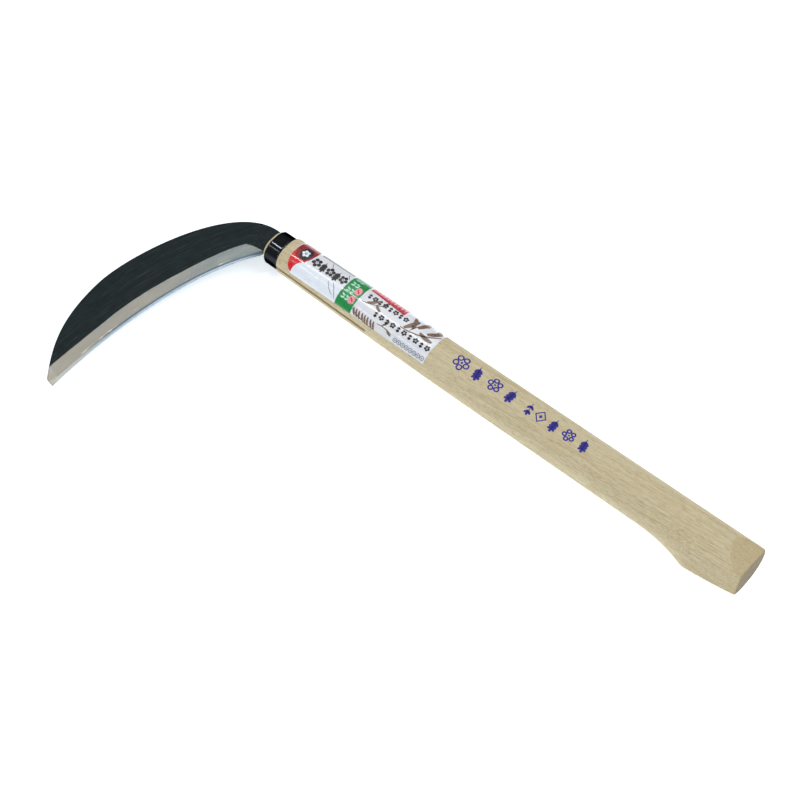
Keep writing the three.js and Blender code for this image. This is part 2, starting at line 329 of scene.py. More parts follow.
def oval_point(x, angle, sizes, lift=0):
    """A point on the section by its parameter: 0 at the back, 90 degrees on top, 180 at the belly."""
    back, belly, height = (size + lift for size in sizes)
    across, up = math.cos(angle), math.sin(angle)
    width = back if across > 0 else belly
    y = math.copysign(width * abs(across) ** (2 / OVAL_POWER), across)
    z = math.copysign((height + FLAT_RELIEF) * abs(up) ** (2 / OVAL_POWER), up)
    return x, y, HALF_HEIGHT + min(height, max(-height, z))


def grip_point(station, angle, inset):
    """A point of the grip's surface. Towards the butt the stations lean like the end face does."""
    across, up = math.cos(angle), math.sin(angle)
    share = smooth(station, HANDLE_BUTT - 60, HANDLE_BUTT)
    axis = Vector((station - share * END_LEAN * HALF_HEIGHT, 0, HALF_HEIGHT))
    heading = Vector((share * (END_SKEW * across - END_LEAN * up), across, up))
    radius = oval_radius(grip_sizes(station), across, up)
    limits = [oval_radius(grip_sizes(axis.x + heading.x * radius), across, up)]
    for point, normal in (TOP_FACET, BELLY_FACET):
        approach = normal.dot(heading)
        if approach > 1e-3:
            limits.append(max(0, normal.dot(point - axis)) / approach)
    return axis + heading * (soft_min(limits, 0.1) - inset)


def handle_mesh():
    angles = [math.radians(360 * (i + 0.5) / 168) for i in range(168)]
    neck_back, neck_belly, neck_height = neck_sizes()
    shoulder = FERRULE_LENGTH + FIT_GAP
    rings = []

    def neck_ring(x, inset):
        sizes = (neck_back - inset, neck_belly - inset, neck_height - inset)
        ring = []
        for angle in angles:
            radius = oval_radius(sizes, math.cos(angle), math.sin(angle))
            ring.append(Vector((x, radius * math.cos(angle), HALF_HEIGHT + radius * math.sin(angle))))
        rings.append(ring)

    def capping(ring, shares):
        middle = sum(ring, Vector()) / len(ring)
        return [[middle.lerp(point, share) for point in ring] for share in shares]

    for distance in rounding_steps(SHOULDER_ROUND):
        neck_ring(HANDLE_FRONT + distance, rounded_inset(distance, SHOULDER_ROUND))
    rings = capping(rings[0], steps(0.1, 0.95, 6)) + rings
    neck_ring(shoulder, 0)
    stations = [
        *steps(shoulder + SHOULDER_ROUND + 1, FLARE_START, 110),
        *steps(FLARE_START + 1.5, 384, 30),
        *steps(384.7, HANDLE_BUTT - BUTT_ROUND - 0.4, 44),
    ]
    near_shoulder = [(shoulder + d, rounded_inset(d, SHOULDER_ROUND)) for d in rounding_steps(SHOULDER_ROUND)]
    near_butt = [
        (HANDLE_BUTT - d, rounded_inset(d, BUTT_ROUND))
        for d in reversed(rounding_steps(BUTT_ROUND))
    ]
    for station, inset in [*near_shoulder, *((x, 0) for x in stations), *near_butt]:
        rings.append([grip_point(station, angle, inset) for angle in angles])
    rings += capping(rings[-1], steps(0.97, 0.05, 12))
    return mesh_from("handle_wood", *bridge(rings))


def make_handle(material):
    kerf_half = TANG_HALF + FIT_GAP
    kerf_z = (TANG_HEIGHT - kerf_half, TANG_HEIGHT + kerf_half)
    kerf = box_cutter((HANDLE_FRONT - 5, KERF_END), (-40, KERF_FLOOR), kerf_z)
    pocket = box_cutter((HOOK_POCKET_FROM, TANG_TIP + 0.6), (0, HOOK_POCKET_FLOOR), kerf_z)
    pin_hole = round_cutter(PIN_X, PIN_Y, (PIN_FROM - FIT_GAP, 60), PIN_HOLE_RADIUS)
    mesh = subtract(handle_mesh(), [kerf, pocket, pin_hole])
    piece = new_piece("handle_wood", mesh, [material], sharp_angle=32)
    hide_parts("handle")
    return piece


# ---------- ferrule ----------


def make_ferrule(material):
    outer = [(rounded_inset(d, FERRULE_LIP), d) for d in rounding_steps(FERRULE_LIP)]
    front = [(FERRULE_WALL - inset, x) for inset, x in outer]
    middle = [(FERRULE_WALL, x) for x in steps(1.6, FERRULE_LENGTH - 1.6, 5)]
    rear = [(height, FERRULE_LENGTH - x) for height, x in reversed(front)]
    bore = [(0, x) for x in steps(FERRULE_LENGTH, 0, 4)]
    sizes = [size - FERRULE_WALL for size in (FERRULE_BACK, FERRULE_BELLY, FERRULE_HALF_HEIGHT)]
    angles = [math.radians(2.5 * i) for i in range(144)]
    rings = [
        [oval_point(x, a, sizes, height) for a in angles]
        for height, x in [*front, *middle, *rear, *bore]
    ]
    mesh = mesh_from("ferrule_ring", *bridge(rings, looped=True))
    piece = new_piece("ferrule_ring", mesh, [material], sharp_angle=40)
    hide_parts("ferrule")
    return piece


# ---------- blade ----------

EDGE_CURVE = Cubic(HEEL, (-33, -49.8), (-46.4, -126.7), EDGE_TIP)
SPINE_NECK = Cubic(NECK_TOP, (-51.1, 18.6), (-81.95, -72.1), SPINE_BELLY)
SPINE_POINT = Cubic(SPINE_BELLY, (-81.95, -145.5), (-69.3, -164.9), SPINE_TIP)


class Station:
    """A line across the blade, from a point on its edge to the point that matches it on the spine."""

    def __init__(self, fraction):
        self.fraction = fraction
        self.edge = EDGE_CURVE.walk(fraction)
        walked = fraction * (SPINE_NECK.length + SPINE_POINT.length)
        if walked <= SPINE_NECK.length:
            spine = SPINE_NECK.walk(walked / SPINE_NECK.length)
        else:
            spine = SPINE_POINT.walk(min(1, (walked - SPINE_NECK.length) / SPINE_POINT.length))
        self.width = (spine - self.edge).length
        self.across = (spine - self.edge).normalized()
        along = EDGE_CURVE.heading(fraction)
        # How squarely this line crosses the blade, to turn a width into a distance along the line.
        self.square = abs(self.across.x * along.y - self.across.y * along.x)

    @property
    def nominal_bevel(self):
        waver = BEVEL_WAVER * math.cos(2 * math.pi * (self.fraction - HEEL_SHARE) / WAVER_LENGTH)
        return lerp(HEEL_BEVEL_WIDTH, BEVEL_WIDTH + waver, min(1, self.fraction / HEEL_SHARE))

    @property
    def bevel(self):
        return min(self.nominal_bevel / self.square, self.width - 0.6)

    @property
    def bared(self):
        return STEEL_SHOWING / self.square

    @property
    def steel_depth(self):
        return min(STEEL_DEPTH / self.square, self.width - 1.6)

    def bevel_half(self, distance):
        return lerp(EDGE_HALF, BEVEL_HALF, distance / self.bevel)

    def place(self, distance, height):
        """From this line and the height off the blade's middle plane to the handle's frame."""
        flat = self.edge + self.across * distance
        y = flat.y * math.cos(BLADE_TILT) - height * math.sin(BLADE_TILT)
        z = flat.y * math.sin(BLADE_TILT) + height * math.cos(BLADE_TILT)
        return Vector((flat.x, y, z + TANG_HEIGHT))


def body_section(station):
    """Upper half of the iron's section as [distance from edge, half thickness], from steel to spine."""
    start = station.bared + 0.15
    bevel = max(station.bevel, start + 0.3)
    crease = 0.12
    face_end = station.width - SPINE_ROUND
    section = [(d, station.bevel_half(d)) for d in steps(start, bevel - crease, 8)]
    section.append((bevel, BEVEL_HALF - 0.01))
    if face_end > bevel + 3 * crease:
        for d in steps(bevel + crease, face_end, 14):
            section.append((d, lerp(BEVEL_HALF, SPINE_HALF, (d - bevel) / (face_end - bevel))))
    else:
        section += [(lerp(bevel, face_end, i / 15), BEVEL_HALF) for i in range(1, 16)]
    for turn in range(1, 6):
        angle = math.radians(18 * turn)
        drop = SPINE_ROUND * (1 - math.cos(angle))
        section.append((face_end + SPINE_ROUND * math.sin(angle), section[23][1] - drop))
    return section


def mirrored(section):
    return section + [(distance, -half) for distance, half in reversed(section)]


def tang_rings():
    """The tang as rings of eight points. It leaves the tilted blade and lies level in the kerf."""
    outline = [
        (TANG_ROOT, -8, 5), (0, -7.8, 4.9), (66.3, -3.9, 3.4),
        (67.3, -3.8, 8.9), (71, -3.7, 8.9), (72, -3.6, 8),
    ]
    corner = 0.4
    rings = []
    for x, belly, back in outline:
        tilt = BLADE_TILT * (1 - smooth(x, TANG_ROOT, 0))
        half = TANG_HALF
        corners = []
        corner_ends = ((belly, -half, 1, 1), (back, -half, -1, 1), (back, half, -1, -1), (belly, half, 1, -1))
        for y_end, z_end, y_in, z_in in corner_ends:
            pair = [(y_end, z_end + corner * z_in), (y_end + corner * y_in, z_end)]
            corners += pair if y_in * z_in > 0 else pair[::-1]
        turned = [
            (y * math.cos(tilt) - z * math.sin(tilt), y * math.sin(tilt) + z * math.cos(tilt))
            for y, z in corners
        ]
        rings.append([Vector((x, y, z + TANG_HEIGHT)) for y, z in turned])
    return rings


def write_flow(mesh, values):
    """Where each vertex lies on the blade: millimetres along the edge, millimetres from it, and that
    distance as a share of the bevel's width."""
    flow = mesh.attributes.new("flow", "FLOAT_VECTOR", "POINT")
    flow.data.foreach_set("vector", [number for value in values for number in value])


def sweep(name, section_at, start, end):
    rings, flow = [], []
    for fraction in steps(start, end, BLADE_STATIONS):
        station = Station(fraction)
        section = section_at(station)
        rings.append([station.place(distance, height) for distance, height in section])
        along = fraction * EDGE_CURVE.length
        for distance, _ in section:
            reach = distance * station.square
            flow.append((along, reach, reach / min(station.nominal_bevel, station.bevel * station.square)))
    vertices, faces = bridge(rings)
    return vertices, faces, flow


def make_blade_body(material):
    def fork(station):
        outer = mirrored(body_section(station))
        cleft = STEEL_TONGUE_HALF + 0.12
        start, depth = outer[0][0], station.steel_depth + 0.3
        return outer + [(start, -cleft), (depth, -cleft), (depth, cleft), (start, cleft)]

    vertices, faces, flow = sweep("forged_blade", fork, 0, 1)
    tang_vertices, tang_faces = bridge(tang_rings())
    shift = len(vertices)
    faces += [tuple(index + shift for index in face) for face in tang_faces]
    flow += [(0, 30, 3)] * len(tang_vertices)
    mesh = mesh_from("forged_blade", vertices + tang_vertices, faces)
    write_flow(mesh, flow)
    piece = new_piece("forged_blade", mesh, [material], sharp_angle=35)
    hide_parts("blade_body")
    return piece


def make_edge_steel(material):
    def strip(station):
        bared, depth = station.bared, station.steel_depth
        half = [(0, 0.03), (0.12, EDGE_HALF)]
        half += [(d, station.bevel_half(d)) for d in steps(bared / 4, bared, 3)]
        half += [(bared + 0.01, STEEL_TONGUE_HALF), (depth, STEEL_TONGUE_HALF)]
        return mirrored(half)

    vertices, faces, flow = sweep("hard_edge", strip, 0.004, 0.999)
    mesh = mesh_from("hard_edge", vertices, faces)
    write_flow(mesh, flow)
    piece = new_piece("hard_edge", mesh, [material], sharp_angle=35)
    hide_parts("edge_steel")
    return piece


# ---------- sheets wrapped round the handle ----------

# Flat coordinates on the handle are (along, around): millimetres from the ferrule's front rim, and
# millimetres round the section from the label's back edge over the top towards the belly.

WRAP_STEP = 1.0
WRAP_LENGTH_STEP = 5.0


@lru_cache(maxsize=None)
def wrap_table(tenths):
    """(distance walked, angle) pairs round the section at a place along the handle."""
    x = tenths / 10
    sizes = grip_sizes(x)
    table = []
    walked = 0
    before = None
    for angle in steps(LABEL_BACK_ANGLE, math.radians(215), 240):
        _, y, z = oval_point(x, angle, sizes, LABEL_TOP)
        if before:
            walked += math.hypot(y - before[0], z - before[1])
        before = (y, z)
        table.append((walked, angle))
    return table


def wrap_angle(x, around):
    table = wrap_table(round(x * 10))
    place = 1
    while place < len(table) - 1 and table[place][0] < around:
        place += 1
    (walked0, angle0), (walked1, angle1) = table[place - 1], table[place]
    return lerp(angle0, angle1, (around - walked0) / (walked1 - walked0))


def wrap(x, around, lift):
    return oval_point(x, wrap_angle(x, around), grip_sizes(x), lift)


def cut_on_grid(work):
    """Cuts flat faces along a grid, so that they can bend round the handle."""
    spans = [[vertex.co[axis] for vertex in work.verts] for axis in (0, 1)]
    for axis, step in ((0, WRAP_LENGTH_STEP), (1, WRAP_STEP)):
        normal = Vector((1, 0, 0)) if axis == 0 else Vector((0, 1, 0))
        line = math.ceil(min(spans[axis]) / step) * step
        while line < max(spans[axis]):
            parts = [*work.verts, *work.edges, *work.faces]
            bmesh.ops.bisect_plane(work, geom=parts, plane_co=normal * line, plane_no=normal, dist=1e-4)
            line += step


def wrapped_mesh(name, shapes, top, bottom):
    """A thin solid for each flat outline, bent round the handle. shapes is [(outline, layer, material)]."""
    work = bmesh.new()
    for outline, layer, material in shapes:
        corners = [work.verts.new((x, around, layer)) for x, around in outline]
        work.faces.new(corners).material_index = material
    bmesh.ops.triangulate(work, faces=work.faces)
    cut_on_grid(work)
    layers = {vertex: vertex.co.z for vertex in work.verts}
    below = bmesh.ops.extrude_face_region(work, geom=work.faces[:])
    lower = {item for item in below["geom"] if isinstance(item, bmesh.types.BMVert)}
    for vertex in work.verts:
        lift = bottom if vertex in lower else top + PRINT_STEP * layers.get(vertex, 0)
        vertex.co = to_frame(wrap(vertex.co.x, vertex.co.y, lift))
    bmesh.ops.recalc_face_normals(work, faces=work.faces)
    mesh = bpy.data.meshes.new(name)
    work.to_mesh(mesh)
    work.free()
    return mesh


# ---------- label ----------


def label_outline():
    width_front = around_at(LABEL_FROM + LABEL_END_ROUND, LABEL_BELLY_ANGLE_FRONT)
    width_rear = around_at(LABEL_TO, LABEL_BELLY_ANGLE_REAR)
    outline = []
    for turn in steps(-90, 90, 24):
        angle = math.radians(turn)
        stand_back = LABEL_END_ROUND * (1 - math.cos(angle))
        outline.append((LABEL_FROM + stand_back, width_front / 2 * (1 + math.sin(angle))))
    return [*outline, (LABEL_TO, width_rear), (LABEL_TO, 0)]


def around_at(x, goal):
    """How far round the section an angle lies."""
    table = wrap_table(round(x * 10))
    for (walked0, angle0), (walked1, angle1) in zip(table, table[1:]):
        if angle1 >= goal:
            return lerp(walked0, walked1, (goal - angle0) / (angle1 - angle0))
    return table[-1][0]


def make_label(material):
    mesh = wrapped_mesh("paper_label", [(label_outline(), 0, 0)], LABEL_TOP, -0.02)
    piece = new_piece("paper_label", mesh, [material], sharp_angle=50)
    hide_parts("label")
    return piece


# ---------- printed shapes ----------


def oval(centre, radii, count=28):
    turns = [2 * math.pi * i / count for i in range(count)]
    return [(centre[0] + radii[0] * math.cos(a), centre[1] + radii[1] * math.sin(a)) for a in turns]


def stroke(start, end, width, bend=0, taper=0.3, count=7):
    """A brush stroke: widest in the middle, tapered towards both ends, and bent to one side."""
    start, end = Vector(start), Vector(end)
    along = end - start
    side = Vector((-along.y, along.x)).normalized()
    left, right = [], []
    for t in steps(0, 1, count):
        middle = start + along * t + side * (bend * 4 * t * (1 - t))
        half = width / 2 * lerp(taper, 1, math.sin(math.pi * (0.08 + 0.84 * t)) ** 0.6)
        left.append(tuple(middle + side * half))
        right.append(tuple(middle - side * half))
    return left + right[::-1]


def ring(centre, radii, width):
    """A ring as two half rings, so that each is one simple outline."""
    halves = []
    for first in (0, 180):
        turns = [math.radians(first + 15 * i) for i in range(13)]
        outer = [(centre[0] + radii[0] * math.cos(a), centre[1] + radii[1] * math.sin(a)) for a in turns]
        inner = [
            (centre[0] + (radii[0] - width) * math.cos(a), centre[1] + (radii[1] - width) * math.sin(a))
            for a in reversed(turns)
        ]
        halves.append(outer + inner)
    return halves


def leaf(root, length, width, turn, bend=0):
    """One pointed leaf, from its root in the direction turn (degrees)."""
    angle = math.radians(turn)
    tip = Vector(root) + Vector((math.cos(angle), math.sin(angle))) * length
    return stroke(root, tip, width, bend, taper=0.06)


def ear(centre, size, turn, width, pairs=3):
    """An ear of grain: a thin stem, pairs of plump grains and one grain at the tip."""
    angle = math.radians(turn)
    along = Vector((math.cos(angle), math.sin(angle)))
    foot = Vector(centre) - along * (size / 2)
    parts = [stroke(foot, foot + along * (0.7 * size), 0.35 * width)]
    for pair in range(pairs):
        root = foot + along * (size * lerp(0.22, 0.62, pair / max(1, pairs - 1)))
        parts += [leaf(root, 0.34 * size, width, turn + side * 42) for side in (-1, 1)]
    parts.append(leaf(foot + along * (0.72 * size), 0.3 * size, width, turn))
    return parts


def blossom(centre, size, turn, width=None):
    """Five round petals about a dot. With a width they are drawn in outline."""
    parts = [oval(centre, (0.07 * size, 0.07 * size), 12)]
    for petal in range(5):
        angle = math.radians(turn + 72 * petal)
        at = Vector(centre) + Vector((math.cos(angle), math.sin(angle))) * (0.31 * size)
        radius = 0.185 * size
        parts += ring(at, (radius, radius), width) if width else [oval(at, (radius, radius), 16)]
    return parts


def lozenge(centre, radii, width):
    """A diamond outline round a smaller solid one."""

    def diamond(share):
        return [
            (centre[0] + share * radii[0] * math.cos(math.radians(90 * i)),
             centre[1] + share * radii[1] * math.sin(math.radians(90 * i)))
            for i in range(4)
        ]

    outer, inner = diamond(1), diamond(1 - width / min(radii))
    sides = [[outer[i], outer[(i + 1) % 4], inner[(i + 1) % 4], inner[i]] for i in range(4)]
    return [*sides, diamond(0.3)]


# ---------- materials ----------


def linear(red, green, blue):
    """Linear light from the 0 to 255 values of a screen colour."""

    def channel(value):
        share = value / 255
        return share / 12.92 if share <= 0.04045 else ((share + 0.055) / 1.055) ** 2.4

    return channel(red), channel(green), channel(blue), 1


class Shader:
    """A material's node tree, with short ways to add nodes and join them."""

    def __init__(self, name):
        self.material = bpy.data.materials.new(name)
        self.material.use_nodes = True
        self.tree = self.material.node_tree
        self.surface = self.tree.nodes["Principled BSDF"]

    def node(self, kind, **settings):
        made = self.tree.nodes.new(kind)
        for name, value in settings.items():
            setattr(made, name, value)
        return made

    def feed(self, socket, value):
        if isinstance(value, bpy.types.NodeSocket):
            self.tree.links.new(value, socket)
        else:
            socket.default_value = value

    def set(self, **inputs):
        for name, value in inputs.items():
            self.feed(self.surface.inputs[name.replace("_", " ")], value)

    def maths(self, operation, first, second=0.0):
        made = self.node("ShaderNodeMath", operation=operation)
        self.feed(made.inputs[0], first)
        self.feed(made.inputs[1], second)
        return made.outputs[0]

    def vector(self, operation, first, second=(0, 0, 0)):
        made = self.node("ShaderNodeVectorMath", operation=operation)
        self.feed(made.inputs[0], first)
        self.feed(made.inputs[1], second)
        return made.outputs["Value" if operation == "LENGTH" else "Vector"]

    def millimetres(self):
        """The piece's own coordinates in millimetres."""
        place = self.node("ShaderNodeTexCoord").outputs["Object"]
        return self.vector("MULTIPLY", place, (1000, 1000, 1000))

    def attribute(self, name):
        return self.node("ShaderNodeAttribute", attribute_name=name).outputs["Vector"]

    def parts(self, vector):
        split = self.node("ShaderNodeSeparateXYZ")
        self.feed(split.inputs[0], vector)
        return split.outputs

    def noise(self, vector, scale=1.0, detail=2.0, roughness=0.5, stretch=None):
        if stretch:
            vector = self.vector("MULTIPLY", vector, stretch)
        made = self.node("ShaderNodeTexNoise")
        self.feed(made.inputs["Vector"], vector)
        made.inputs["Scale"].default_value = scale
        made.inputs["Detail"].default_value = detail
        made.inputs["Roughness"].default_value = roughness
        return made.outputs[0]

    def ramp(self, value, low, high, start=0.0, end=1.0):
        """Start below low, end above high, and a smooth change between."""
        made = self.node("ShaderNodeMapRange", interpolation_type="SMOOTHSTEP")
        for socket, given in zip(made.inputs, (value, low, high, start, end)):
            self.feed(socket, given)
        return made.outputs[0]

    def blend(self, share, first, second, mode="MIX"):
        made = self.node("ShaderNodeMix", data_type="RGBA", blend_type=mode)
        self.feed(made.inputs[0], share)
        self.feed(made.inputs[6], first)
        self.feed(made.inputs[7], second)
        return made.outputs[2]

    def bump(self, height, distance, strength=1.0):
        made = self.node("ShaderNodeBump")
        made.inputs["Strength"].default_value = strength
        made.inputs["Distance"].default_value = distance * MM
        self.feed(made.inputs["Height"], height)
        self.feed(self.surface.inputs["Normal"], made.outputs[0])


def wood_material():
    """Pale, close-grained hardwood, sanded and unfinished, with its grain a few degrees off the axis."""
    shader = Shader("pale_wood")
    turned = shader.node("ShaderNodeVectorRotate", rotation_type="Z_AXIS")
    shader.feed(turned.inputs["Vector"], shader.millimetres())
    turned.inputs["Angle"].default_value = math.radians(-3.5)
    place = turned.outputs[0]

    # Growth rings round a pith well outside the handle, made to wander along its length.
    sway = shader.noise(place, detail=2, stretch=(0.009, 0.05, 0.05))
    pith = shader.vector("ADD", place, (0, 150, 60))
    radius = shader.vector("LENGTH", shader.vector("MULTIPLY", pith, (0, 1, 1)))
    wandering = shader.maths("ADD", radius, shader.maths("MULTIPLY", sway, 14))
    rings = shader.node("ShaderNodeTexNoise", noise_dimensions="1D")
    shader.feed(rings.inputs["W"], shader.maths("MULTIPLY", wandering, 0.55))
    rings.inputs["Scale"].default_value = 1
    rings.inputs["Detail"].default_value = 3
    ring_tone = shader.ramp(rings.outputs[0], 0.35, 0.68)

    streaks = shader.noise(place, detail=3, roughness=0.6, stretch=(0.03, 1.7, 1.7))
    pores = shader.noise(place, detail=1.5, roughness=0.6, stretch=(0.16, 3.6, 3.6))
    pore_mask = shader.ramp(pores, 0.55, 0.66)
    # Cut across the grain, as on the pommel's facets, the wood is darker. The end face's dark brown is partly
    # the end grain's own tone and partly painted shade.
    facing = shader.node("ShaderNodeTexCoord").outputs["Normal"]
    along_grain = shader.parts(facing)[0]
    across_grain = shader.ramp(along_grain, 0.12, 0.45, 0, 0.65)
    end_grain_and_shade = shader.ramp(along_grain, 0.7, 0.95, 0, 0.9)
    patches = shader.noise(place, detail=2, stretch=(0.01, 0.05, 0.05))

    colour = shader.blend(ring_tone, linear(209, 198, 163), linear(196, 182, 145))
    colour = shader.blend(shader.ramp(streaks, 0.4, 0.7, 0, 0.75), colour, linear(182, 164, 124))
    colour = shader.blend(shader.ramp(patches, 0.3, 0.7, 0, 0.3), colour, linear(221, 210, 182))
    colour = shader.blend(across_grain, colour, linear(180, 160, 114))
    # End face: the end grain's darker tone, deepened with painted shade.
    colour = shader.blend(end_grain_and_shade, colour, linear(118, 106, 78))
    colour = shader.blend(shader.maths("MULTIPLY", pore_mask, 0.7), colour, linear(150, 126, 88))
    shader.set(Base_Color=colour)
    shader.set(Roughness=shader.ramp(streaks, 0.3, 0.7, 0.5, 0.66))
    shader.set(Specular_IOR_Level=0.35)
    height = shader.maths("SUBTRACT", shader.maths("MULTIPLY", streaks, 0.35), pore_mask)
    shader.bump(height, 0.05, 0.6)
    return shader.material


def blade_material():
    """Black forge scale over ground iron: the bevel is satin grey with painted highlights, lighter and warmer
    towards the tip and in glints near the edge, and the scale has worn scratches.
    """
    shader = Shader("forged_iron")
    flow = shader.attribute("flow")
    along, reach, share = shader.parts(flow)
    place = shader.millimetres()

    waver = shader.noise(flow, detail=3, stretch=(0.09, 0, 0))
    waver_offset = shader.maths("MULTIPLY", shader.maths("SUBTRACT", waver, 0.5), 0.09)
    wavering_share = shader.maths("ADD", share, waver_offset)
    ground = shader.ramp(wavering_share, 0.985, 1.015, 1, 0)

    # Forge scale: nearly black with a teal cast, drawn out along the blade.
    drawn = shader.noise(flow, detail=4, roughness=0.65, stretch=(0.03, 0.9, 0.9))
    mottle = shader.noise(place, scale=0.12, detail=4, roughness=0.6)
    scratch = shader.noise(flow, detail=2, roughness=0.7, stretch=(0.035, 2.6, 2.6))
    scratch_mask = shader.ramp(scratch, 0.6, 0.7)
    scale_colour = shader.blend(shader.ramp(mottle, 0.3, 0.7), linear(18, 28, 30), linear(25, 35, 37))
    scale_colour = shader.blend(shader.ramp(drawn, 0.4, 0.8, 0, 0.5), scale_colour, linear(34, 45, 48))
    scratches = shader.maths("MULTIPLY", scratch_mask, 0.5)
    scale_colour = shader.blend(scratches, scale_colour, linear(84, 94, 102))

    # Grinding marks run across the bevel, from the edge to the spine.
    grind = shader.noise(flow, detail=3, roughness=0.6, stretch=(1.6, 0.12, 0.12))
    clouds = shader.noise(flow, detail=2, stretch=(0.035, 0.12, 0))
    # The bevel's grey runs from a darker, bluer grey at the heel to a lighter, warmer grey at the tip; the
    # lighter warm tip is a painted highlight.
    heel_half = shader.blend(shader.ramp(along, 0, 100), linear(91, 105, 109), linear(119, 119, 114))
    steel_colour = shader.blend(shader.ramp(along, 100, 186), heel_half, linear(146, 143, 133))
    steel_colour = shader.blend(shader.ramp(clouds, 0.3, 0.7, 0, 0.5), steel_colour, linear(132, 128, 117))
    # Painted highlights: pale patches in the bevel, 3 to 6 mm in from the edge, stand for glints of light.
    painted_glint = shader.ramp(shader.noise(flow, detail=2, stretch=(0.07, 0.45, 0)), 0.58, 0.72, 0, 0.6)
    painted_glint = shader.maths("MULTIPLY", painted_glint, shader.ramp(reach, 6, 3))
    steel_colour = shader.blend(painted_glint, steel_colour, linear(200, 194, 176))
    steel_colour = shader.blend(shader.ramp(grind, 0.4, 0.8, 0, 0.25), steel_colour, linear(156, 156, 152))
    # A darker blue-grey band 2.6 to 3.4 mm in from the edge, strongest from the heel to the middle and fading
    # towards the tip.
    darker_band = shader.ramp(reach, 2.6, 3.4, 0.8, 0)
    darker_band = shader.maths("MULTIPLY", darker_band, shader.ramp(along, 90, 150, 1, 0.1))
    steel_colour = shader.blend(darker_band, steel_colour, linear(84, 94, 100))

    shader.set(Base_Color=shader.blend(ground, scale_colour, steel_colour))
    shader.set(Metallic=ground, Specular_IOR_Level=0.12)
    scale_rough = shader.ramp(drawn, 0.3, 0.75, 0.55, 0.4)
    steel_rough = shader.ramp(grind, 0.3, 0.7, 0.34, 0.46)
    roughness = shader.blend(ground, scale_rough, steel_rough)
    shader.set(Roughness=roughness)
    relief = shader.blend(ground, shader.maths("ADD", mottle, shader.maths("MULTIPLY", drawn, 0.5)), grind)
    shader.bump(relief, 0.035, 0.5)
    return shader.material


def edge_material():
    """Hard steel along the edge, honed: its pale blue at the very edge, darkening to blue-grey inwards, is a
    painted reflection, and the light warm grey towards the tip a painted highlight.
    """
    shader = Shader("honed_steel_painted_reflection")
    flow = shader.attribute("flow")
    along, reach, _ = shader.parts(flow)
    hone = shader.noise(flow, detail=3, roughness=0.6, stretch=(2.4, 0.3, 0.3))
    # Painted reflection: pale blue at the very edge, darkening to blue-grey about 2 mm in.
    painted_edge_reflection = shader.blend(shader.ramp(hone, 0.35, 0.75), linear(150, 170, 188), linear(172, 188, 202))
    dark = shader.blend(shader.ramp(hone, 0.35, 0.75), linear(76, 90, 100), linear(94, 106, 114))
    colour = shader.blend(shader.ramp(reach, 0.3, 2.2), painted_edge_reflection, dark)
    # Towards the tip the colour turns to a light warm grey, a painted highlight.
    tip = shader.ramp(along, 110, 190)
    shader.set(Base_Color=shader.blend(tip, colour, linear(176, 176, 168)))
    shader.set(Metallic=1.0)
    shader.set(Roughness=shader.ramp(hone, 0.3, 0.7, 0.36, 0.44))
    shader.bump(hone, 0.004, 0.4)
    return shader.material


def ferrule_material():
    """Steel ring lacquered black, with a little orange peel and fine handling marks."""
    shader = Shader("black_lacquer")
    place = shader.millimetres()
    peel = shader.noise(place, scale=0.16, detail=1)
    marks = shader.noise(place, detail=3, roughness=0.7, stretch=(0.3, 1.5, 1.5))
    tone = shader.blend(shader.ramp(marks, 0.45, 0.8), linear(52, 54, 58), linear(64, 67, 72))
    shader.set(Base_Color=tone)
    shader.set(Roughness=shader.ramp(marks, 0.4, 0.75, 0.07, 0.16))
    shader.set(Metallic=1.0, Specular_Tint=(0.12, 0.12, 0.12, 1))
    shader.bump(peel, 0.25, 0.5)
    return shader.material


def paper_material():
    """Gloss-coated printing paper."""
    shader = Shader("gloss_paper")
    place = shader.millimetres()
    cockle = shader.noise(place, detail=2, stretch=(0.1, 0.25, 0.25))
    fibre = shader.noise(place, scale=2.2, detail=3, roughness=0.7)
    colour = shader.blend(shader.ramp(cockle, 0.3, 0.7), linear(220, 223, 231), linear(230, 232, 236))
    colour = shader.blend(shader.ramp(fibre, 0.5, 0.8, 0, 0.2), colour, linear(196, 200, 212))
    shader.set(Base_Color=colour)
    shader.set(Roughness=shader.ramp(fibre, 0.3, 0.7, 0.22, 0.32))
    shader.set(Coat_Weight=1.0, Coat_Roughness=0.05, Coat_IOR=1.4)
    shader.bump(cockle, 0.12, 0.5)
    return shader.material


def ink_material(name, dark, light, gloss=0.25, patch=0.35, coat=1.0):
    """Printing ink with slightly uneven coverage."""
    shader = Shader(name)
    place = shader.millimetres()
    cover = shader.noise(place, scale=patch, detail=4, roughness=0.65)
    shader.set(Base_Color=shader.blend(shader.ramp(cover, 0.35, 0.7), linear(*dark), linear(*light)))
    shader.set(Roughness=shader.ramp(cover, 0.3, 0.7, gloss, gloss + 0.1))
    shader.set(Coat_Weight=coat, Coat_Roughness=0.05, Coat_IOR=1.4)
    shader.bump(cover, 0.01, 0.4)
    return shader.material


def pin_material():
    shader = Shader("pin_steel")
    place = shader.millimetres()
    drawn = shader.noise(place, detail=3, roughness=0.6, stretch=(3, 3, 0.3))
    shader.set(Base_Color=shader.blend(drawn, linear(120, 122, 126), linear(172, 174, 178)))
    shader.set(Metallic=1.0)
    shader.set(Roughness=shader.ramp(drawn, 0.3, 0.7, 0.3, 0.5))
    shader.bump(drawn, 0.02, 0.4)
    return shader.material


def floor_material():
    shader = Shader("studio_floor")
    place = shader.millimetres()
    tone = shader.noise(place, scale=0.01, detail=2)
    shader.set(Base_Color=shader.blend(tone, (0.9, 0.9, 0.9, 1), (0.92, 0.92, 0.92, 1)))
    shader.set(Roughness=0.8, Specular_IOR_Level=0.1)
    # The floor glows like a light table: its emission lights the piece from below and washes the shadows out
    # of the floor.
    shader.set(Emission_Color=(0.86, 0.94, 1, 1), Emission_Strength=0.6)
    return shader.material


# ---------- print on the label and stamp on the wood ----------


